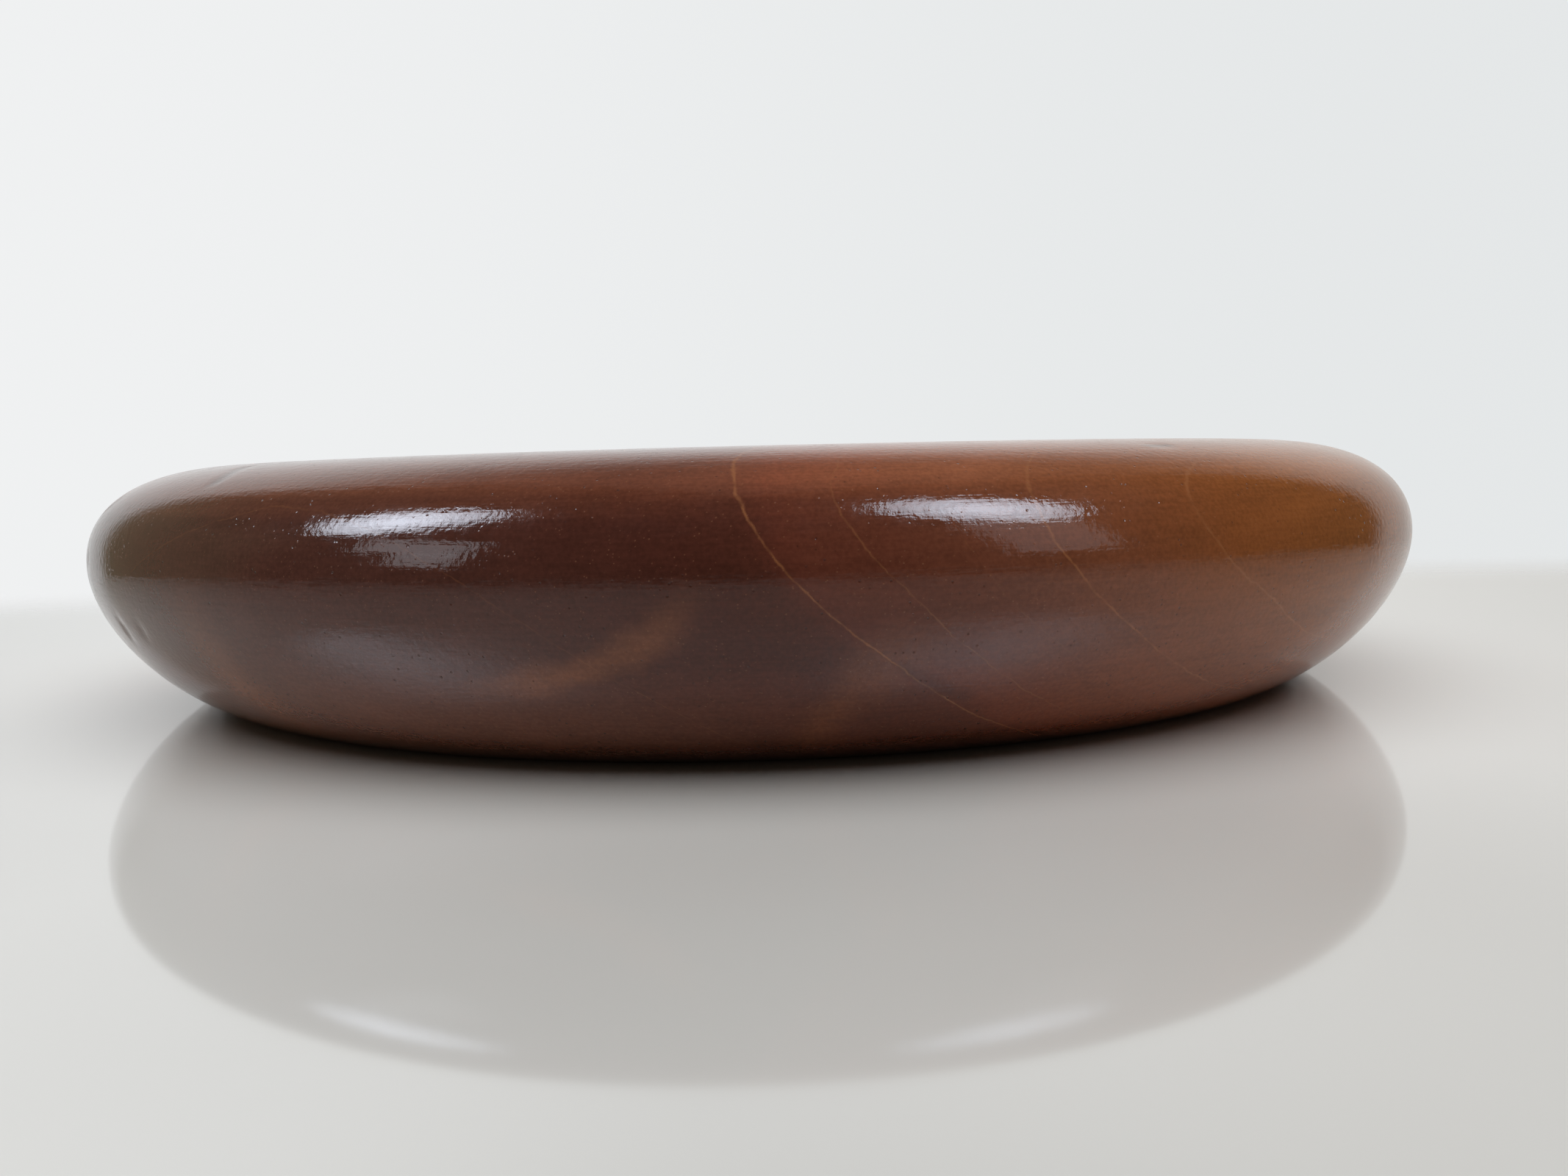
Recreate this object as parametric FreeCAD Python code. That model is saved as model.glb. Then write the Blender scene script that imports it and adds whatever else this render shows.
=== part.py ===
"""A low go stone bowl with its lid, two pieces of turned and lacquered wood.

The frame is in millimetres, with +Z up. The origin is the centre of the foot, on the surface that
the bowl stands on, and Z is the axis that both pieces are turned about.

The bowl is a flat round hollow. It swells from a broad foot to its widest a little above half its
height, and its thick rim rolls over inwards. Inside the rim, a funnel leads down to a ledge round the
mouth. The lid drops onto that ledge, level with the rim, and a ring under it keeps it central. The lid
is hollow below, so that it makes a dish for captured stones when it is turned over.

Each piece is one half section, drawn edge by edge and turned about Z.
"""

import FreeCAD
import Part

import math
import os

# The bowl's outside
BOWL_RADIUS = 100.0
BOWL_HEIGHT = 33.8
BELLY_HEIGHT = 20.7  # where the bowl is widest
FOOT_RADIUS = 82.6
FOOT_SLOPE = math.radians(16.7)  # how steeply the wall leaves the foot
CREST_RADIUS = 79.0  # the rim's highest circle

# How far the outside curve keeps its direction on leaving each of those places
FOOT_PULL = 9.3
BELOW_BELLY_PULL = 7.9
ABOVE_BELLY_PULL = 8.4
CREST_PULL = 13.3

# The foot's underside
FOOT_RING_WIDTH = 20.0
FOOT_RECESS = 1.6
RECESS_SLOPE_WIDTH = 3.2

# The ledge that the lid rests on, and the funnel above it
MOUTH_RADIUS = 60.5
LEDGE_WIDTH = 6.3
LEDGE_HEIGHT = 26.5
LEDGE_THICKNESS = 3.0
SEAT_WALL = 1.2  # the upright step at the foot of the funnel
FUNNEL_PULL_AT_CREST = 6.0
FUNNEL_PULL_AT_SEAT = 3.0, 2.8

# The hollow
WALL = 9.0  # at the widest
FLOOR_HEIGHT = 5.6
HOLLOW_BELLY_HEIGHT = 15.7
FLAT_FLOOR_RADIUS = 65.5
FLOOR_DISHING = 0.4  # how far the flat floor rises from its middle to its edge
UNDER_LEDGE_PULL = 14.0, 0.4
ABOVE_HOLLOW_BELLY_PULL = 4.8
BELOW_HOLLOW_BELLY_PULL = 5.2
FLOOR_EDGE_PULL = 12.5, 0.5

# The lid
LID_CLEARANCE = 0.6  # all round, in the seat and in the mouth
LID_EDGE_ROUND = 2.4
LID_SHOULDER_HEIGHT = 32.0  # where the edge's round meets the crown
LID_CROWN = 1.3  # how far the middle stands above the shoulder
LID_RING_DEPTH = 5.0  # below the ledge
LID_RING_WIDTH = 4.4
LID_THICKNESS = 4.7  # in the middle
DISH_FLAT_RADIUS = 43.3
DISH_PULL_AT_FLAT = 5.5
DISH_PULL_AT_RING = 3.6
CROWN_PULL_AT_SHOULDER = -12.0, 0.5
CROWN_PULL_AT_MIDDLE = 24.0

SMALL_ROUND = 0.8  # the turner's easing of an edge


def at(radius, height):
    """A point of a half section."""
    return FreeCAD.Vector(radius, 0, height)


class HalfSection:
    """A closed outline beside the Z axis, drawn edge by edge, that turns into a solid."""

    def __init__(self, radius, height):
        self.start = at(radius, height)
        self.here = self.start
        self.edges = []

    def line(self, radius, height):
        end = at(radius, height)
        self.edges.append(Part.makeLine(self.here, end))
        self.here = end

    def curve(self, first_handle, second_handle, end):
        """A cubic curve. The handles are radius and height steps from its two ends."""
        end = at(*end)
        curve = Part.BezierCurve()
        curve.setPoles([self.here, self.here + at(*first_handle), end + at(*second_handle), end])
        self.edges.append(curve.toShape())
        self.here = end

    def round_off(self, centre, radius, from_angle, to_angle):
        """An arc from where the outline is, about centre, with angles in degrees."""

        def on_round(angle):
            turn = math.radians(angle)
            return at(centre[0] + radius * math.cos(turn), centre[1] + radius * math.sin(turn))

        middle = on_round((from_angle + to_angle) / 2)
        end = on_round(to_angle)
        self.edges.append(Part.Arc(self.here, middle, end).toShape())
        self.here = end

    def turned(self):
        self.edges.append(Part.makeLine(self.here, self.start))
        face = Part.Face(Part.Wire(self.edges))
        solid = Part.Solid(face.revolve(at(0, 0), FreeCAD.Vector(0, 0, 1), 360))
        if solid.Volume < 0:
            solid.reverse()
        return solid


def draw_foot(section):
    """The underside: a recessed middle inside a broad flat ring."""
    recess_radius = FOOT_RADIUS - FOOT_RING_WIDTH
    section.line(recess_radius - RECESS_SLOPE_WIDTH, FOOT_RECESS)
    section.line(recess_radius, 0)
    section.line(FOOT_RADIUS, 0)


def draw_outside(section):
    """From the foot, out to the belly and over to the rim's crest."""
    leaving_foot = FOOT_PULL * math.cos(FOOT_SLOPE), FOOT_PULL * math.sin(FOOT_SLOPE)
    section.curve(leaving_foot, (0, -BELOW_BELLY_PULL), (BOWL_RADIUS, BELLY_HEIGHT))
    section.curve((0, ABOVE_BELLY_PULL), (CREST_PULL, 0), (CREST_RADIUS, BOWL_HEIGHT))


def draw_funnel_and_ledge(section):
    """From the crest, down the rim's rolled inside to the lid's seat, and in to the mouth."""
    seat_radius = MOUTH_RADIUS + LEDGE_WIDTH
    seat_top = seat_radius, LEDGE_HEIGHT + SEAT_WALL
    section.curve((-FUNNEL_PULL_AT_CREST, 0), FUNNEL_PULL_AT_SEAT, seat_top)
    section.line(seat_radius, LEDGE_HEIGHT)

    round_radius = MOUTH_RADIUS + SMALL_ROUND
    upper_round = LEDGE_HEIGHT - SMALL_ROUND
    lower_round = LEDGE_HEIGHT - LEDGE_THICKNESS + SMALL_ROUND
    section.line(round_radius, LEDGE_HEIGHT)
    section.round_off((round_radius, upper_round), SMALL_ROUND, 90, 180)
    section.line(MOUTH_RADIUS, lower_round)
    section.round_off((round_radius, lower_round), SMALL_ROUND, 180, 270)


def draw_hollow(section):
    """From under the ledge, out to the hollow's widest, and in across the floor."""
    belly = BOWL_RADIUS - WALL, HOLLOW_BELLY_HEIGHT
    floor_edge = FLAT_FLOOR_RADIUS, FLOOR_HEIGHT + FLOOR_DISHING
    section.curve(UNDER_LEDGE_PULL, (0, ABOVE_HOLLOW_BELLY_PULL), belly)
    section.curve((0, -BELOW_HOLLOW_BELLY_PULL), FLOOR_EDGE_PULL, floor_edge)
    section.line(0, FLOOR_HEIGHT)


def make_bowl():
    section = HalfSection(0, FOOT_RECESS)
    draw_foot(section)
    draw_outside(section)
    draw_funnel_and_ledge(section)
    draw_hollow(section)
    return section.turned()


def make_lid():
    radius = MOUTH_RADIUS + LEDGE_WIDTH - LID_CLEARANCE
    ring_radius = MOUTH_RADIUS - LID_CLEARANCE
    ring_bottom = LEDGE_HEIGHT - LID_RING_DEPTH
    dish_radius = ring_radius - LID_RING_WIDTH
    dish_top = LID_SHOULDER_HEIGHT + LID_CROWN - LID_THICKNESS
    section = HalfSection(0, dish_top)

    # The dish below, from its middle out to the ring
    round_height = ring_bottom + SMALL_ROUND
    section.line(DISH_FLAT_RADIUS, dish_top)
    section.curve((DISH_PULL_AT_FLAT, 0), (0, DISH_PULL_AT_RING), (dish_radius, round_height))
    section.round_off((dish_radius + SMALL_ROUND, round_height), SMALL_ROUND, 180, 270)
    section.line(ring_radius - SMALL_ROUND, ring_bottom)
    section.round_off((ring_radius - SMALL_ROUND, round_height), SMALL_ROUND, 270, 360)
    section.line(ring_radius, LEDGE_HEIGHT)

    # The flange that rests on the ledge, and its rounded edge
    lower_round = radius - SMALL_ROUND, LEDGE_HEIGHT + SMALL_ROUND
    upper_round = radius - LID_EDGE_ROUND, LID_SHOULDER_HEIGHT - LID_EDGE_ROUND
    section.line(lower_round[0], LEDGE_HEIGHT)
    section.round_off(lower_round, SMALL_ROUND, 270, 360)
    section.line(radius, upper_round[1])
    section.round_off(upper_round, LID_EDGE_ROUND, 0, 90)

    # The crown, a shallow dome
    crown_top = 0, LID_SHOULDER_HEIGHT + LID_CROWN
    section.curve(CROWN_PULL_AT_SHOULDER, (CROWN_PULL_AT_MIDDLE, 0), crown_top)
    return section.turned()


def export(node, shape):
    if not shape.isValid() or len(shape.Solids) != 1:
        raise ValueError(node + " is not one valid solid")
    shape.exportStep("parts/" + node + ".step")
    box = shape.optimalBoundingBox(False)
    sides = "%.2f x %.2f x %.2f" % (box.XLength, box.YLength, box.ZLength)
    print(node, "volume %.1f mm3" % shape.Volume, "size", sides)


os.makedirs("parts", exist_ok=True)
export("bowl", make_bowl())
export("lid", make_lid())
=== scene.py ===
"""The looks of a low go stone bowl and its lid: turned red-brown wood under clear glossy lacquer.

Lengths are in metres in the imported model's frame: Z is the axis that both pieces are turned about,
the bowl stands on Z = 0, and the front is -Y. Outlines and wood grain are set down in millimetres.

Each piece is a fine turned mesh that stands for its CAD node, with the small unevenness of hand work
in its shape. The wood is a solid pattern of growth rings about a pith, so that its lines run round the
walls, over the rim and through to the inside, as in one block of wood.
"""

import math

import bpy
import numpy as np
from mathutils import Matrix, Vector


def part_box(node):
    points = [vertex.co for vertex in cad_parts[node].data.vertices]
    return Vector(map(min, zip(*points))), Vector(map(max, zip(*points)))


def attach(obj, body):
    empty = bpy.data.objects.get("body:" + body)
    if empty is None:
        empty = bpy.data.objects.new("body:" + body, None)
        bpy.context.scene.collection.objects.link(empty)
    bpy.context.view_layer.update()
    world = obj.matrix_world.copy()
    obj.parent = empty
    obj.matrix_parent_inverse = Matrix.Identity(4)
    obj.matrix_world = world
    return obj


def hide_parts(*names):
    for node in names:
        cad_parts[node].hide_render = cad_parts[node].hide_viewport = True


MM = 0.001

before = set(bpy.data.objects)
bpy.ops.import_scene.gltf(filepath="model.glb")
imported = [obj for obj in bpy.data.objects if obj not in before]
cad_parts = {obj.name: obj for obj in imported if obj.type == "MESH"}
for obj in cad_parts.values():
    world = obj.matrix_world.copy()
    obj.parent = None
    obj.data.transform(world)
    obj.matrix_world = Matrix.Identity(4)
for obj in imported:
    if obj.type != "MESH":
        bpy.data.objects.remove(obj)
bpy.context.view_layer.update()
bowl_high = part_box("bowl")[1]
lid_low, lid_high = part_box("lid")

# The bowl's outline, in millimetres
BOWL_RADIUS = bowl_high.x / MM
BOWL_HEIGHT = bowl_high.z / MM
BELLY_HEIGHT = 20.7
FOOT_RADIUS = 82.6
FOOT_SLOPE = math.radians(16.7)
CREST_RADIUS = 79.0
FOOT_PULL = 9.3
BELOW_BELLY_PULL = 7.9
ABOVE_BELLY_PULL = 8.4
CREST_PULL = 13.3
RECESS_RADIUS = 62.6
FOOT_RECESS = 1.6
RECESS_SLOPE_WIDTH = 3.2
MOUTH_RADIUS = 60.5
SEAT_RADIUS = 66.8
LEDGE_HEIGHT = 26.5
LEDGE_THICKNESS = 3.0
SEAT_WALL = 1.2
HOLLOW_RADIUS = 91.0
HOLLOW_BELLY_HEIGHT = 15.7
FLAT_FLOOR_RADIUS = 65.5
FLOOR_HEIGHT = 5.6
FLOOR_DISHING = 0.4
FUNNEL_PULL_AT_CREST = 6.0
FUNNEL_PULL_AT_SEAT = 3.0, 2.8
UNDER_LEDGE_PULL = 14.0, 0.4
ABOVE_HOLLOW_BELLY_PULL = 4.8
BELOW_HOLLOW_BELLY_PULL = 5.2
FLOOR_EDGE_PULL = 12.5, 0.5

# The lid's outline, in millimetres
LID_RADIUS = lid_high.x / MM
LID_TOP = lid_high.z / MM
RING_BOTTOM = lid_low.z / MM
LID_SHOULDER_HEIGHT = 32.0
LID_EDGE_ROUND = 2.4
RING_RADIUS = 59.9
DISH_RADIUS = 55.5
DISH_TOP = 28.6
DISH_FLAT_RADIUS = 43.3
DISH_PULL_AT_FLAT = 5.5
DISH_PULL_AT_RING = 3.6
CROWN_PULL_AT_SHOULDER = -12.0, 0.5
CROWN_PULL_AT_MIDDLE = 24.0

SMALL_ROUND = 0.8

# How finely the outlines are turned. The bowl's mesh stays just under 200,000 triangles.
BOWL_COLUMNS = 790
LID_COLUMNS = 720
SHARP_EDGE = math.radians(35)


class Outline:
    """A half section beside the Z axis, as rows of points. Each stretch adds its own number of rows."""

    def __init__(self, radius, height):
        self.points = [(radius, height)]

    def line(self, radius, height, rows=1):
        start = self.points[-1]
        for row in range(1, rows + 1):
            t = row / rows
            here = start[0] + t * (radius - start[0]), start[1] + t * (height - start[1])
            self.points.append(here)

    def curve(self, first_handle, second_handle, end, rows):
        """A cubic curve. The handles are radius and height steps from its two ends."""
        start = np.array(self.points[-1])
        end = np.array(end)
        first = start + first_handle
        second = end + second_handle
        for row in range(1, rows + 1):
            t = row / rows
            u = 1 - t
            point = u**3 * start + 3 * u * u * t * first + 3 * u * t * t * second + t**3 * end
            self.points.append(tuple(point))

    def round_off(self, centre, radius, from_angle, to_angle, rows=5):
        for row in range(1, rows + 1):
            turn = math.radians(from_angle + (to_angle - from_angle) * row / rows)
            here = centre[0] + radius * math.cos(turn), centre[1] + radius * math.sin(turn)
            self.points.append(here)


def bowl_outline():
    """From the middle of the foot, round the outside and the rim, and back to the middle of the floor."""
    outline = Outline(0, FOOT_RECESS)
    outline.line(RECESS_RADIUS - RECESS_SLOPE_WIDTH, FOOT_RECESS, rows=8)
    outline.line(RECESS_RADIUS, 0)
    outline.line(FOOT_RADIUS, 0, rows=4)

    leaving_foot = FOOT_PULL * math.cos(FOOT_SLOPE), FOOT_PULL * math.sin(FOOT_SLOPE)
    outline.curve(leaving_foot, (0, -BELOW_BELLY_PULL), (BOWL_RADIUS, BELLY_HEIGHT), rows=34)
    outline.curve((0, ABOVE_BELLY_PULL), (CREST_PULL, 0), (CREST_RADIUS, BOWL_HEIGHT), rows=32)

    seat_top = SEAT_RADIUS, LEDGE_HEIGHT + SEAT_WALL
    outline.curve((-FUNNEL_PULL_AT_CREST, 0), FUNNEL_PULL_AT_SEAT, seat_top, rows=14)
    outline.line(SEAT_RADIUS, LEDGE_HEIGHT)
    round_radius = MOUTH_RADIUS + SMALL_ROUND
    outline.line(round_radius, LEDGE_HEIGHT, rows=2)
    outline.round_off((round_radius, LEDGE_HEIGHT - SMALL_ROUND), SMALL_ROUND, 90, 180, rows=3)
    lower_round = LEDGE_HEIGHT - LEDGE_THICKNESS + SMALL_ROUND
    outline.line(MOUTH_RADIUS, lower_round)
    outline.round_off((round_radius, lower_round), SMALL_ROUND, 180, 270, rows=3)

    belly = HOLLOW_RADIUS, HOLLOW_BELLY_HEIGHT
    floor_edge = FLAT_FLOOR_RADIUS, FLOOR_HEIGHT + FLOOR_DISHING
    outline.curve(UNDER_LEDGE_PULL, (0, ABOVE_HOLLOW_BELLY_PULL), belly, rows=10)
    outline.curve((0, -BELOW_HOLLOW_BELLY_PULL), FLOOR_EDGE_PULL, floor_edge, rows=8)
    outline.line(0, FLOOR_HEIGHT, rows=6)
    return outline.points


def lid_outline():
    """From the middle of the dish, round the ring and the edge, and back over the crown."""
    outline = Outline(0, DISH_TOP)
    round_height = RING_BOTTOM + SMALL_ROUND
    outline.line(DISH_FLAT_RADIUS, DISH_TOP, rows=5)
    ring_inside = DISH_RADIUS, round_height
    outline.curve((DISH_PULL_AT_FLAT, 0), (0, DISH_PULL_AT_RING), ring_inside, rows=10)
    outline.round_off((DISH_RADIUS + SMALL_ROUND, round_height), SMALL_ROUND, 180, 270, rows=3)
    outline.line(RING_RADIUS - SMALL_ROUND, RING_BOTTOM, rows=2)
    outline.round_off((RING_RADIUS - SMALL_ROUND, round_height), SMALL_ROUND, 270, 360, rows=3)
    outline.line(RING_RADIUS, LEDGE_HEIGHT, rows=2)

    lower_round = LID_RADIUS - SMALL_ROUND, LEDGE_HEIGHT + SMALL_ROUND
    upper_round = LID_RADIUS - LID_EDGE_ROUND, LID_SHOULDER_HEIGHT - LID_EDGE_ROUND
    outline.line(lower_round[0], LEDGE_HEIGHT, rows=2)
    outline.round_off(lower_round, SMALL_ROUND, 270, 360, rows=3)
    outline.line(LID_RADIUS, upper_round[1], rows=2)
    outline.round_off(upper_round, LID_EDGE_ROUND, 0, 90, rows=6)
    outline.curve(CROWN_PULL_AT_SHOULDER, (CROWN_PULL_AT_MIDDLE, 0), (0, LID_TOP), rows=40)
    return outline.points


def turned_mesh(name, outline, columns, hollows):
    """Turns an outline whose two ends are on the axis, and sinks the surface inwards by the hollows.

    The two ends become single points, and hollows gives a depth in millimetres for each other point.
    """
    points = np.array(outline)
    middle = points[1:-1]
    along = np.gradient(middle, axis=0)
    along /= np.linalg.norm(along, axis=1)[:, None]
    outwards = np.stack([along[:, 1], -along[:, 0]], axis=1)

    angles = np.arange(columns) * 2 * math.pi / columns
    directions = np.stack([np.sin(angles), -np.cos(angles)], axis=1)

    def turned(radius_and_height):
        flat = radius_and_height[:, None, :1] * directions[None]
        heights = np.broadcast_to(radius_and_height[:, None, 1:], flat.shape[:2] + (1,))
        return np.concatenate([flat, heights], axis=2)

    surface = turned(middle)
    normals = turned(outwards)
    surface = surface - normals * hollows(surface)[..., None]

    rows = len(middle)
    poles = [[0, 0, points[0, 1]], [0, 0, points[-1, 1]]]
    vertices = np.concatenate([surface.reshape(-1, 3), poles])
    first_pole = rows * columns
    last_pole = first_pole + 1
    faces = []
    for column in range(columns):
        after = (column + 1) % columns
        faces.append((first_pole, after, column))
        for row in range(rows - 1):
            low, high = row * columns, (row + 1) * columns
            faces.append((low + column, low + after, high + after, high + column))
        top = (rows - 1) * columns
        faces.append((top + column, top + after, last_pole))

    mesh = bpy.data.meshes.new(name)
    mesh.from_pydata((vertices * MM).tolist(), [], faces)
    mesh.polygons.foreach_set("use_smooth", np.ones(len(faces), bool))
    mesh.set_sharp_from_angle(angle=SHARP_EDGE)
    mesh.update()
    piece = bpy.data.objects.new(name, mesh)
    bpy.context.scene.collection.objects.link(piece)
    return piece


def hand_work(surface):
    """The slow unevenness left by sanding a turned surface by hand, in millimetres, always inwards."""
    x, y, z = surface[..., 0], surface[..., 1], surface[..., 2]
    turn = np.arctan2(x, -y)
    across = np.hypot(x, y) + z
    slow = np.sin(3 * turn + 0.31 * across) + 0.7 * np.sin(7 * turn - 0.23 * across + 1.3)
    quick = np.sin(19 * turn + 0.9 * across) * np.sin(0.7 * across - 5 * turn)
    mean_depth, slow_depth, quick_depth = 0.03, 0.012, 0.004
    return mean_depth + slow_depth * slow + quick_depth * quick


def dents(surface, marks):
    """Dents, each drawn from one place to another in millimetres, with its radius and depth.

    A round pit has the same place twice.
    """
    depth = np.zeros(surface.shape[:2])
    for start, end, radius, deep in marks:
        stroke = np.subtract(end, start)
        never_zero = max(stroke @ stroke, 1e-9)
        share = np.clip((surface - start) @ stroke / never_zero, 0, 1)
        distance = np.linalg.norm(surface - start - share[..., None] * stroke, axis=2)
        depth += deep * np.exp(-((distance / radius) ** 2))
    return depth


# Where the rim has been knocked, each from one place to another in millimetres
LEFT_KNOCK = (-61.5, -69.3, 31.4), (-61.0, -62.6, 33.0)
FAR_LEFT_KNOCK = (-85.9, -45.0, 28.5), (-83.6, -47.0, 29.4)
RIGHT_KNOCK = (44.6, -76.2, 32.8), (45.6, -75.6, 32.9)

# Knocks and worn pits: from where to where, radius and depth in millimetres
BOWL_MARKS = [
    (*RIGHT_KNOCK, 1.2, 0.1),
    (*LEFT_KNOCK, 1.1, 0.13),
    (*FAR_LEFT_KNOCK, 1.1, 0.2),
    ((-72.4, -66.6, 14.2), (-72.4, -66.6, 14.2), 1.0, 0.15),
    ((-77.0, -60.4, 13.3), (-77.3, -60.2, 14.6), 1.0, 0.2),
    ((-86.3, -50.4, 22.0), (-86.3, -50.4, 22.0), 1.2, 0.15),
]


def bowl_hollows(surface):
    return hand_work(surface) + dents(surface, BOWL_MARKS)


class Graph:
    """Adds nodes to a node tree. Each value is a number, a colour, a vector or another node's output."""

    def __init__(self, tree):
        self.tree = tree

    def add(self, kind, inputs, **settings):
        node = self.tree.nodes.new(kind)
        for name, value in settings.items():
            setattr(node, name, value)
        for key, value in inputs.items():
            if isinstance(value, bpy.types.NodeSocket):
                self.tree.links.new(value, node.inputs[key])
            else:
                node.inputs[key].default_value = value
        return node

    def math(self, operation, *values):
        return self.add("ShaderNodeMath", dict(enumerate(values)), operation=operation).outputs[0]

    def vector(self, operation, *values):
        node = self.add("ShaderNodeVectorMath", dict(enumerate(values)), operation=operation)
        gives_number = operation in ("DOT_PRODUCT", "LENGTH")
        return node.outputs["Value" if gives_number else "Vector"]

    def scaled(self, vector, scale):
        return self.add("ShaderNodeVectorMath", {0: vector, "Scale": scale}, operation="SCALE").outputs[0]

    def split(self, vector):
        return self.add("ShaderNodeSeparateXYZ", {0: vector}).outputs

    def joined(self, x, y, z):
        return self.add("ShaderNodeCombineXYZ", {0: x, 1: y, 2: z}).outputs[0]

    def noise(self, vector, scale, detail=2.0, roughness=0.5):
        inputs = {"Vector": vector, "Scale": scale, "Detail": detail, "Roughness": roughness}
        return self.add("ShaderNodeTexNoise", inputs).outputs[0]

    def cells(self, vector, scale):
        inputs = {"Vector": vector, "Scale": scale}
        return self.add("ShaderNodeTexVoronoi", inputs, feature="F1")

    def fade(self, value, low, high, bottom=0.0, top=1.0):
        """bottom up to low, top from high on, and a smooth change between them."""
        inputs = {"Value": value, "From Min": low, "From Max": high, "To Min": bottom, "To Max": top}
        return self.add("ShaderNodeMapRange", inputs, interpolation_type="SMOOTHSTEP").outputs[0]

    def ramp(self, value, stops):
        """Colours along a value. stops are (value, colour) pairs in rising order."""
        low, high = stops[0][0], stops[-1][0]
        share = self.add("ShaderNodeMapRange", {"Value": value, "From Min": low, "From Max": high})
        node = self.add("ShaderNodeValToRGB", {0: share.outputs[0]})
        band = node.color_ramp
        band.elements[0].position = 0
        band.elements[1].position = 1
        for at, _ in stops[1:-1]:
            band.elements.new((at - low) / (high - low))
        for element, (_, colour) in zip(band.elements, stops):
            element.color = (*colour, 1)
        return node.outputs[0]

    def mix(self, factor, first, second, blend="MIX"):
        inputs = {0: factor, 6: first, 7: second}
        return self.add("ShaderNodeMix", inputs, data_type="RGBA", blend_type=blend).outputs[2]


# Wood colours by distance from the pith in millimetres, as linear light
WOOD_COLOURS = [
    (0.0, (0.12, 0.044, 0.030)),
    (35.0, (0.108, 0.040, 0.028)),
    (45.0, (0.094, 0.034, 0.024)),
    (55.0, (0.088, 0.028, 0.019)),
    (63.0, (0.084, 0.024, 0.015)),
    (67.5, (0.098, 0.028, 0.017)),
    (70.0, (0.132, 0.035, 0.020)),
    (76.0, (0.150, 0.043, 0.023)),
    (82.0, (0.186, 0.058, 0.030)),
    (88.0, (0.222, 0.070, 0.030)),
    (94.0, (0.278, 0.086, 0.025)),
    (102.0, (0.325, 0.106, 0.025)),
    (120.0, (0.340, 0.118, 0.030)),
]
LINE_COLOUR = (0.44, 0.17, 0.065, 1)
RAY_COLOUR = (0.28, 0.098, 0.042, 1)
STAIN_COLOUR = (0.035, 0.012, 0.008, 1)
NIB_COLOUR = (0.42, 0.18, 0.09, 1)

# How much lighter the rim and foot are painted, in red, green and blue: painted light from above on the
# rim, and painted light bounced from the table towards the foot
RIM_PAINTED_LIGHT = 2.3, 2.4, 1.9
FOOT_PAINTED_BOUNCE_LIGHT = 1.6, 1.48, 1.15

LACQUER_IOR = 1.45

# Growth lines: distance from the pith, half width and strength
GROWTH_LINES = [
    (49.4, 0.12, 0.14),
    (67.9, 0.15, 0.55),
    (73.2, 0.11, 0.26),
    (78.6, 0.1, 0.09),
    (83.7, 0.15, 0.5),
    (92.5, 0.15, 0.48),
    (103.0, 0.16, 0.35),
]

# Pale streaks that run out from the pith: the angle at the far end in degrees, the bend on the way in in
# degrees per square millimetre, from and to which distance, half width and strength
RAYS = [
    (40.0, 0.033, 42.0, 58.0, 1.4, 0.5),
    (28.0, -0.012, 55.0, 72.0, 1.6, 0.22),
    (108.5, 0.0, 26.0, 40.0, 3.4, 0.3),
    (200.0, 0.02, 20.0, 60.0, 3.0, 0.5),
    (290.0, 0.02, 30.0, 70.0, 3.0, 0.5),
]
RAY_FADE_BEYOND_END = 6.0
RAY_FADE_WITHIN_END = 4.0

# Dark stains, in the knocks and low on the front, each between two places, with its radius and strength
STAINS = [
    (*LEFT_KNOCK, 1.8, 0.6),
    (*FAR_LEFT_KNOCK, 1.5, 0.45),
    ((43.4, -77.0, 32.6), (46.2, -75.2, 32.9), 1.2, 0.6),
    ((14.0, -96.3, 11.5), (20.5, -92.2, 7.8), 1.6, 0.35),
]


def centred_noise(g, place, scale, detail, width):
    """Noise that swings about zero, as wide as stated."""
    return g.math("MULTIPLY", g.math("SUBTRACT", g.noise(place, scale, detail), 0.5), width)


def growth_rings(g, place, pith, grain):
    """A place among the wood's rings: along the pith, across from it, how far, and the angle about it."""
    level = Vector((grain.y, -grain.x, 0)).normalized()
    upright = level.cross(grain)
    from_pith = g.vector("SUBTRACT", place, pith)
    length = g.vector("DOT_PRODUCT", from_pith, tuple(grain))
    across = g.vector("SUBTRACT", from_pith, g.scaled(tuple(grain), length))
    distance = g.vector("LENGTH", across)
    rise = g.vector("DOT_PRODUCT", across, tuple(upright))
    angle = g.math("ARCTAN2", rise, g.vector("DOT_PRODUCT", across, tuple(level)))
    return length, across, distance, angle


def along_grain(g, across, grain, length, share):
    """The place with its length along the grain cut to a share, which draws a pattern out that way."""
    return g.vector("ADD", across, g.scaled(tuple(grain), g.math("MULTIPLY", length, share)))


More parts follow.
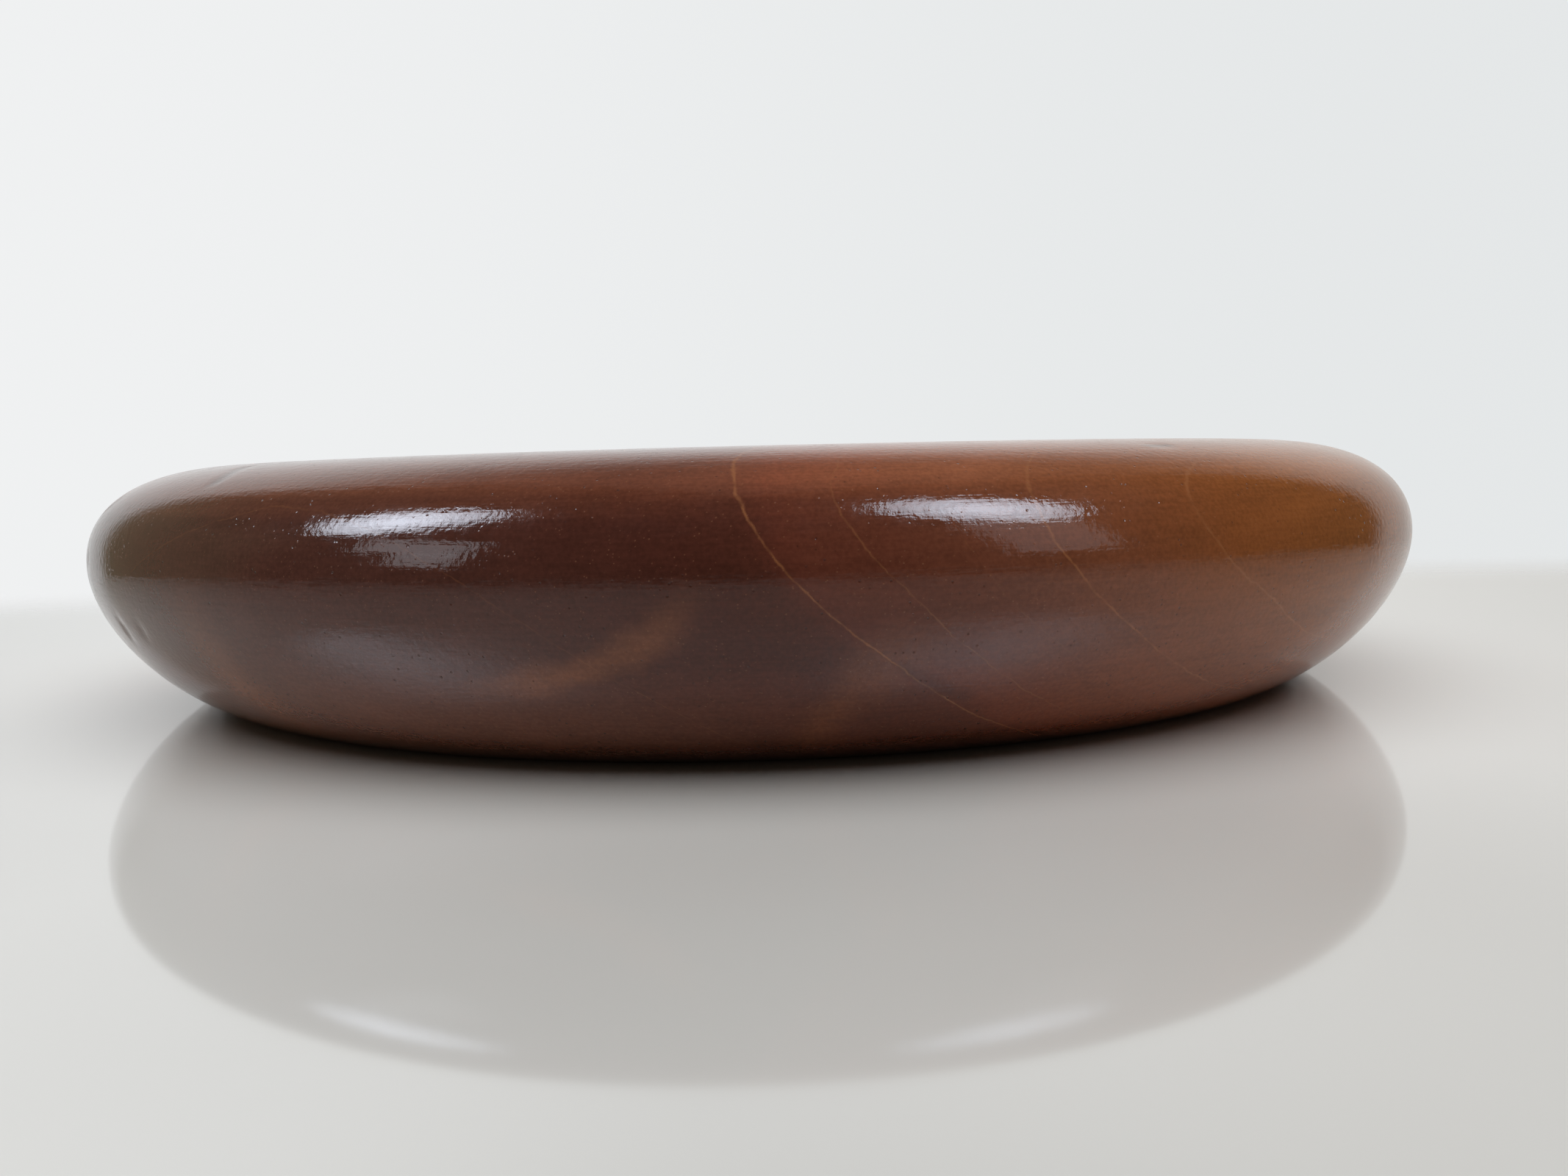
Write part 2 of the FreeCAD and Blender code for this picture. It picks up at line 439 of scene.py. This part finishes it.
def add_rays(g, base, distance, angle):
    """Pale soft streaks that run out from the pith and bend on the way."""
    for degrees, bend, near, far, half_width, strength in RAYS:
        inwards = g.math("SUBTRACT", far, distance)
        turn = g.math("MULTIPLY", g.math("MULTIPLY", inwards, inwards), math.radians(bend))
        apart = g.math("SUBTRACT", g.math("SUBTRACT", angle, turn), math.radians(degrees))
        aside = g.math("ABSOLUTE", g.math("MULTIPLY", g.math("SINE", apart), distance))
        ray = g.fade(aside, 0.0, 2 * half_width, strength, 0.0)
        ray = g.math("MULTIPLY", ray, g.fade(g.math("COSINE", apart), 0.0, 0.2))
        begun = g.fade(distance, near - RAY_FADE_BEYOND_END, near + RAY_FADE_WITHIN_END)
        ray = g.math("MULTIPLY", ray, begun)
        going_on = g.fade(distance, far - RAY_FADE_WITHIN_END, far + RAY_FADE_BEYOND_END, 1.0, 0.0)
        ray = g.math("MULTIPLY", ray, going_on)
        base = g.mix(ray, base, RAY_COLOUR)
    return base


def add_growth_lines(g, base, place, ring):
    """Thin pale lines, broken here and there."""
    frayed = centred_noise(g, place, scale=1.6, detail=2.0, width=0.2)
    broken = g.fade(g.noise(place, 0.5, 4.0), 0.35, 0.6, 0.3, 1.0)
    for radius, half_width, strength in GROWTH_LINES:
        aside = g.math("ABSOLUTE", g.math("SUBTRACT", g.math("ADD", ring, frayed), radius))
        line = g.fade(aside, 0.0, half_width, strength, 0.0)
        base = g.mix(g.math("MULTIPLY", line, broken), base, LINE_COLOUR)
    return base


def add_stains(g, base, place):
    """Dark marks drawn from one place to another."""
    for start, end, radius, strength in STAINS:
        stroke = Vector(end) - Vector(start)
        along = tuple(stroke / stroke.length_squared)
        share = g.vector("DOT_PRODUCT", g.vector("SUBTRACT", place, start), along)
        share = g.math("MINIMUM", g.math("MAXIMUM", share, 0.0), 1.0)
        nearest = g.vector("ADD", start, g.scaled(tuple(stroke), share))
        away = g.vector("LENGTH", g.vector("SUBTRACT", place, nearest))
        stain = g.fade(away, 0.0, radius, strength, 0.0)
        base = g.mix(stain, base, STAIN_COLOUR)
    return base


def turned_noise(g, place, spacing, length):
    """Noise drawn out into rings about the Z axis, as a turning tool leaves it, in millimetres."""
    x, y, z = g.split(place)
    radius = g.math("SQRT", g.math("ADD", g.math("MULTIPLY", x, x), g.math("MULTIPLY", y, y)))
    across_rings = g.math("DIVIDE", radius, spacing)
    up_rings = g.math("DIVIDE", z, spacing)
    vector = g.joined(across_rings, up_rings, g.math("DIVIDE", x, length))
    inputs = {"Vector": vector, "W": g.math("DIVIDE", y, length), "Scale": 1.0, "Detail": 2.0}
    return g.add("ShaderNodeTexNoise", inputs, noise_dimensions="4D").outputs[0]


def multiplied(g, base, share, factors):
    """The colour with its red, green and blue multiplied, as far as share says."""
    return g.mix(share, base, g.mix(1.0, base, (*factors, 1), "MULTIPLY"))


def add_shade(g, base, place, drawn_out, bands, scratches):
    """Soft streaks along the grain, finer ones round the axis from the turning tool, and speckle."""
    streaks = g.fade(g.noise(drawn_out, 0.16, 4.0, 0.6), 0.3, 0.7, -0.07, 0.07)
    fine = g.fade(scratches, 0.3, 0.7, -0.06, 0.06)
    speckle = g.fade(g.noise(place, 2.2, 2.0), 0.3, 0.7, -0.1, 0.1)
    shade = g.math("ADD", g.math("ADD", streaks, bands), g.math("ADD", fine, speckle))
    shade = g.math("ADD", shade, 1.0)
    return g.mix(1.0, base, g.joined(shade, shade, shade), "MULTIPLY")


def add_painted_rim_and_foot_light(g, base, place, ring, bands):
    """Painted light: the colour made lighter round the rim, as if lit from above, and towards the foot, as
    if lit from the table below, less so in the outer, yellower wood.
    """
    z = g.split(place)[2]
    # Painted light from above, on the rim
    rim = g.fade(g.math("ADD", z, g.math("MULTIPLY", bands, 10.0)), 26.5, 31.2)
    rim = g.math("MULTIPLY", rim, g.fade(ring, 68.0, 92.0, 1.0, 0.35))
    base = multiplied(g, base, rim, RIM_PAINTED_LIGHT)
    # Painted light bounced up from the table, towards the foot
    foot = g.math("MULTIPLY", g.fade(z, 4.0, 16.0, 1.0, 0.0), g.fade(ring, 70.0, 90.0, 1.0, 0.5))
    return multiplied(g, base, foot, FOOT_PAINTED_BOUNCE_LIGHT)


def specks(g, place, scale, whole, gone, gate):
    """Small round spots, one to a cell, where the gate lets them through.

    A spot is whole up to one distance from its middle, and gone from the other on.
    """
    distance = g.cells(place, scale).outputs["Distance"]
    return g.math("MULTIPLY", g.fade(distance, whole, gone, 1.0, 0.0), gate)


def lacquer_bump(g, place, scratches, nibs, pits):
    """The lacquer's own surface, with heights in millimetres."""
    height = g.math("MULTIPLY", scratches, 0.018)
    height = g.math("ADD", height, g.math("MULTIPLY", g.noise(place, 1.3, 3.0), 0.03))
    height = g.math("ADD", height, g.math("MULTIPLY", nibs, 0.01))
    height = g.math("SUBTRACT", height, g.math("MULTIPLY", pits, 0.03))
    return g.add("ShaderNodeBump", {"Strength": 1.0, "Distance": MM, "Height": height}).outputs[0]


def wood(name, pith, grain):
    """Lacquered wood: rings about the line through pith along grain, both in millimetres."""
    material = bpy.data.materials.new(name)
    material.use_nodes = True
    tree = material.node_tree
    shader = tree.nodes["Principled BSDF"]
    g = Graph(tree)

    place = g.scaled(g.add("ShaderNodeTexCoord", {}).outputs["Object"], 1 / MM)
    grain = Vector(grain).normalized()
    length, across, distance, angle = growth_rings(g, place, pith, grain)
    drift = centred_noise(g, place, scale=0.045, detail=1.0, width=2.4)
    wriggle = centred_noise(g, place, scale=0.3, detail=3.0, width=0.6)
    ring = g.math("ADD", g.math("ADD", distance, drift), wriggle)

    # The slow change of colour from the heart outwards
    clouds = centred_noise(g, place, scale=0.03, detail=3.0, width=8.0)
    base = g.ramp(g.math("ADD", ring, clouds), WOOD_COLOURS)
    sway = centred_noise(g, place, scale=0.12, detail=3.0, width=0.1)
    angle = g.math("ADD", angle, sway)
    base = add_rays(g, base, distance, angle)

    # The grain, the turning tool's marks and the painted light on the rim and foot
    drawn_out = along_grain(g, across, grain, length, share=0.12)
    bands = g.fade(turned_noise(g, place, spacing=3.5, length=90.0), 0.3, 0.7, -0.05, 0.05)
    scratches = turned_noise(g, place, spacing=0.35, length=5.0)
    base = add_shade(g, base, place, drawn_out, bands, scratches)
    base = add_painted_rim_and_foot_light(g, base, place, ring, bands)
    base = add_growth_lines(g, base, place, ring)
    base = add_stains(g, base, place)

    # Nibs are specks caught under the lacquer, a little paler than the wood, and pits are dark
    nib_place = along_grain(g, across, grain, length, share=0.45)
    nib_gate = g.fade(g.noise(place, 1.1), 0.45, 0.65)
    nibs = specks(g, nib_place, scale=2.4, whole=0.05, gone=0.26, gate=nib_gate)
    base = g.mix(g.math("MULTIPLY", nibs, 0.32), base, NIB_COLOUR)
    pit_gate = g.fade(g.noise(place, 0.23), 0.43, 0.6)
    pits = specks(g, place, scale=1.0, whole=0.04, gone=0.18, gate=pit_gate)
    base = g.mix(g.math("MULTIPLY", pits, 0.6), base, STAIN_COLOUR)

    tree.links.new(base, shader.inputs["Base Color"])
    tree.links.new(lacquer_bump(g, place, scratches, nibs, pits), shader.inputs["Normal"])
    rough = g.fade(g.noise(place, 0.4, 3.0), 0.3, 0.7, 0.06, 0.12)
    tree.links.new(rough, shader.inputs["Roughness"])
    shader.inputs["IOR"].default_value = LACQUER_IOR
    return material


# What the window panels light: the two pieces, and not the table, which would mirror the panels
PANEL_LIT = bpy.data.collections.new("panel_lit")


def make_bowl():
    bowl = turned_mesh("turned_bowl", bowl_outline(), BOWL_COLUMNS, bowl_hollows)
    bowl.data.materials.append(wood("bowl_wood", pith=(4.3, -1.5, -11.9), grain=(0.556, 0.825, 0.097)))
    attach(bowl, "bowl")
    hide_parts("bowl")
    PANEL_LIT.objects.link(bowl)


def make_lid():
    lid = turned_mesh("turned_lid", lid_outline(), LID_COLUMNS, hand_work)
    lid.data.materials.append(wood("lid_wood", pith=(-14.0, 9.0, -6.0), grain=(0.9, 0.43, 0.05)))
    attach(lid, "lid")
    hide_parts("lid")
    PANEL_LIT.objects.link(lid)


TABLE_HALF_WIDTH = 4.0
TABLE_IOR = 2.2
TABLE_COLOUR = (0.96, 0.96, 0.93, 1)
# A painted shadow on the table close in front of the bowl: its colour and where it is centred
PAINTED_SHADOW_TABLE_COLOUR = (0.80, 0.795, 0.765, 1)  # close in front of the bowl
PAINTED_SHADOW_PLACE = 0.02, -0.14, 0

# The table is whole within the first distance of its middle, and gone beyond the second
TABLE_MIDDLE = 0, -0.65, 0
TABLE_FADE = 0.76, 0.86
SEEN_TABLE_FADE = 0.28, 0.65  # what a camera sees of it, about the bowl


def make_table_finish():
    """Pale gloss with a painted shadow close in front of the bowl, duller where it is looked down on, that
    runs out softly into the backdrop.
    """
    material = bpy.data.materials.new("floor_gloss")
    material.use_nodes = True
    tree = material.node_tree
    table = tree.nodes["Principled BSDF"]
    table.inputs["IOR"].default_value = TABLE_IOR
    g = Graph(tree)
    place = g.add("ShaderNodeTexCoord", {}).outputs["Object"]
    # Painted shadow: the table's colour darker close in front of the bowl
    from_painted_shadow = g.vector("LENGTH", g.vector("SUBTRACT", place, PAINTED_SHADOW_PLACE))
    pale = g.fade(from_painted_shadow, 0.025, 0.08)
    tree.links.new(g.mix(pale, PAINTED_SHADOW_TABLE_COLOUR, TABLE_COLOUR), table.inputs["Base Color"])
    facing = g.add("ShaderNodeLayerWeight", {"Blend": 0.5}).outputs["Facing"]
    tree.links.new(g.fade(facing, 0.3, 0.6, 0.35, 0.06), table.inputs["Roughness"])

    # A camera sees the table only round the bowl, and pale paper beyond
    from_middle = g.vector("LENGTH", g.vector("SUBTRACT", place, TABLE_MIDDLE))
    seen = g.add("ShaderNodeLightPath", {}).outputs["Is Camera Ray"]
    beyond = g.math("MULTIPLY", seen, g.fade(g.vector("LENGTH", place), *SEEN_TABLE_FADE))
    gone = g.math("MAXIMUM", g.fade(from_middle, *TABLE_FADE), beyond)
    clear = g.add("ShaderNodeBsdfTransparent", {})
    whole = g.add("ShaderNodeMixShader", {0: gone, 1: table.outputs[0], 2: clear.outputs[0]})
    tree.links.new(whole.outputs[0], tree.nodes["Material Output"].inputs["Surface"])
    return material


def make_floor():
    """A plain pale glossy table top."""
    mesh = bpy.data.meshes.new("floor")
    far = TABLE_HALF_WIDTH
    corners = [(-far, -far, 0), (far, -far, 0), (far, far, 0), (-far, far, 0)]
    mesh.from_pydata(corners, [], [(0, 1, 2, 3)])
    floor = bpy.data.objects.new("floor", mesh)
    bpy.context.scene.collection.objects.link(floor)
    mesh.materials.append(make_table_finish())


# What the bowl mirrors, and what a camera sees behind it
ROOM_COLOUR = (0.05, 0.045, 0.035, 1)
LEFT_ROOM_COLOUR = (0.22, 0.20, 0.13, 1)
LEFT_CLOTH_COLOUR = (0.87, 0.88, 0.885, 1)
RIGHT_CLOTH_COLOUR = (0.84, 0.825, 0.80, 1)
LEFT_PAPER_COLOUR = (0.87, 0.88, 0.885, 1)
RIGHT_PAPER_COLOUR = (0.78, 0.80, 0.805, 1)
CLOTH_MIDDLE = math.radians(5)  # to the right of straight back
CLOTH_WHOLE_UP_TO = math.radians(19)
CLOTH_GONE_FROM = math.radians(49)


def cloth_share(g, x, y, z, direction):
    """How bright the lit cloth is in a direction: x to the right, y to the back, z up, all in its length.

    It hangs behind the bowl, brightest in its middle and low down, and higher at the left.
    """
    level = g.math("SQRT", g.math("ADD", g.math("MULTIPLY", x, x), g.math("MULTIPLY", y, y)))
    straight_back = math.sin(CLOTH_MIDDLE), math.cos(CLOTH_MIDDLE), 0
    behind = g.vector("DOT_PRODUCT", direction, straight_back)
    behind = g.math("SUBTRACT", g.math("DIVIDE", behind, level), g.math("MULTIPLY", z, 0.2))
    behind = g.fade(behind, 0.54, 0.64)
    height = g.math("SUBTRACT", z, g.fade(x, -0.8, 0.0, 0.22, 0.0))
    low = g.fade(height, math.sin(CLOTH_WHOLE_UP_TO), math.sin(CLOTH_GONE_FROM), 1.0, 0.12)
    sides = g.math("MULTIPLY", g.fade(x, -0.8, -0.1, 0.74, 1.0), g.fade(x, 0.1, 0.85, 1.0, 0.62))
    return g.math("MULTIPLY", g.math("MULTIPLY", behind, low), sides)


def make_world():
    """A pale cloth behind the bowl and a dark room before it. A camera sees pale paper all round."""
    world = bpy.data.worlds.new("studio")
    world.use_nodes = True
    bpy.context.scene.world = world
    g = Graph(world.node_tree)
    direction = g.add("ShaderNodeTexCoord", {}).outputs["Generated"]
    x, y, z = g.split(direction)
    left = g.math("MULTIPLY", g.fade(x, -0.35, -0.75), g.fade(y, -0.25, 0.1))
    left = g.math("MULTIPLY", left, g.fade(z, 0.35, 0.7, 1.0, 0.0))
    room = g.mix(left, ROOM_COLOUR, LEFT_ROOM_COLOUR)
    cloth = g.mix(g.fade(x, -0.1, 0.5), LEFT_CLOTH_COLOUR, RIGHT_CLOTH_COLOUR)
    mirrored = g.mix(cloth_share(g, x, y, z, direction), room, cloth)
    paper = g.mix(g.fade(x, -0.6, 0.6), LEFT_PAPER_COLOUR, RIGHT_PAPER_COLOUR)
    seen = g.add("ShaderNodeLightPath", {}).outputs["Is Camera Ray"]
    background = world.node_tree.nodes["Background"]
    world.node_tree.links.new(g.mix(seen, mirrored, paper), background.inputs["Color"])


def place_on_sky(azimuth, elevation, distance, target):
    """A point that far from target. Azimuth 0 is the front, and it grows towards +X, in degrees."""
    turn, rise = math.radians(azimuth), math.radians(elevation)
    level = math.cos(rise)
    direction = Vector((math.sin(turn) * level, -math.cos(turn) * level, math.sin(rise)))
    return target + distance * direction


LAMP_TARGET = Vector((0, -0.08, 0.025))
LAMP_DISTANCE = 2.0

# A softbox's ovals: size and share of the brightness. They stand apart, so that none hides another.
SOFTBOX_OVALS = [(1.0, 0.42), (0.85, 0.13), (0.68, 0.13), (0.5, 0.14), (0.32, 0.18)]
OVAL_GAP = 0.02

PANEL_COLOUR = 0.9, 0.93, 1.0


def make_light(
    name, shape, azimuth, elevation, wide, high, radiance, colour, shiny, distance=LAMP_DISTANCE
):
    """A soft light of that many degrees each way, as bright as stated whatever its size.

    A shiny one shows only in gloss, and any other only in matt colour.
    """
    data = bpy.data.lights.new(name, "AREA")
    data.shape = shape
    data.size = 2 * distance * math.tan(math.radians(wide / 2))
    data.size_y = 2 * distance * math.tan(math.radians(high / 2))
    area = data.size * data.size_y * (math.pi / 4 if shape == "ELLIPSE" else 1)
    data.energy = radiance * math.pi * area
    data.color = colour
    light = bpy.data.objects.new(name, data)
    bpy.context.scene.collection.objects.link(light)
    light.location = place_on_sky(azimuth, elevation, distance, LAMP_TARGET)
    light.rotation_euler = (light.location - LAMP_TARGET).to_track_quat("Z", "Y").to_euler()
    light.visible_camera = False
    light.visible_glossy = shiny
    light.visible_diffuse = not shiny
    return light


def make_softbox(name, azimuth, elevation, wide, high, radiance, colour):
    """A lamp behind cloth, brighter towards its middle: ovals of falling size, one in front of another."""
    for number, (size, share) in enumerate(SOFTBOX_OVALS):
        make_light(
            name + "_" + str(number),
            "ELLIPSE",
            azimuth,
            elevation,
            wide * size,
            high * size,
            radiance * share,
            colour,
            shiny=True,
            distance=LAMP_DISTANCE - OVAL_GAP * number,
        )


def make_panel(name, azimuth, elevation, wide, high, radiance):
    """A dim window that only the two pieces mirror."""
    view = azimuth, elevation, wide, high
    panel = make_light(name, "RECTANGLE", *view, radiance, PANEL_COLOUR, shiny=True)
    panel.light_linking.receiver_collection = PANEL_LIT


CAMERA_LENS = 29.87
CAMERA_DISTANCE = 2.2002  # from the bowl's middle, in bowl radii
CAMERA_HEIGHT = 0.3076  # above the table, in bowl radii
CAMERA_YAW = 0.0205  # to the right
CAMERA_PITCH = 0.0882  # downwards
CAMERA_ROLL = -0.0252


def make_camera():
    """Close in front of the bowl, level with its rim, aimed a little down and to the right."""
    data = bpy.data.cameras.new("camera")
    data.sensor_width = 36.0
    data.lens = CAMERA_LENS
    data.clip_start = 0.005
    camera = bpy.data.objects.new("camera", data)
    bpy.context.scene.collection.objects.link(camera)

    ahead = math.cos(CAMERA_PITCH)
    sideways, straight = math.sin(CAMERA_YAW) * ahead, math.cos(CAMERA_YAW) * ahead
    forward = Vector((sideways, straight, -math.sin(CAMERA_PITCH)))
    level = Vector((math.cos(CAMERA_YAW), -math.sin(CAMERA_YAW), 0))
    upright = level.cross(forward)
    right = math.cos(CAMERA_ROLL) * level + math.sin(CAMERA_ROLL) * upright
    up = math.cos(CAMERA_ROLL) * upright - math.sin(CAMERA_ROLL) * level
    turn = Matrix((right, up, -forward)).transposed()
    radius = bowl_high.x
    place = Matrix.Translation((0, -CAMERA_DISTANCE * radius, CAMERA_HEIGHT * radius))
    camera.matrix_world = place @ turn.to_4x4()
    bpy.context.scene.camera = camera


make_bowl()
make_lid()
make_floor()
make_world()

# The lamps: where they stand and how large they look in degrees, brightness and colour
make_light("overhead", "ELLIPSE", 0, 80, 100, 70, 1.55, (0.97, 0.98, 1.0), shiny=False)
make_softbox("left_softbox", -81.0, 47.2, 19.6, 29, 17.5, (0.80, 0.87, 1.0))
make_softbox("right_softbox", 57.2, 55.6, 22.6, 33, 15.5, (0.75, 0.86, 1.0))
make_panel("left_panel", -58.5, 27.5, 19, 12, 2.3)
make_panel("left_panel_low", -54, 17, 11, 10, 2.3)
make_panel("right_panel", 50, 27, 18, 32, 1.0)
make_camera()
bpy.context.scene.view_settings.view_transform = "Standard"
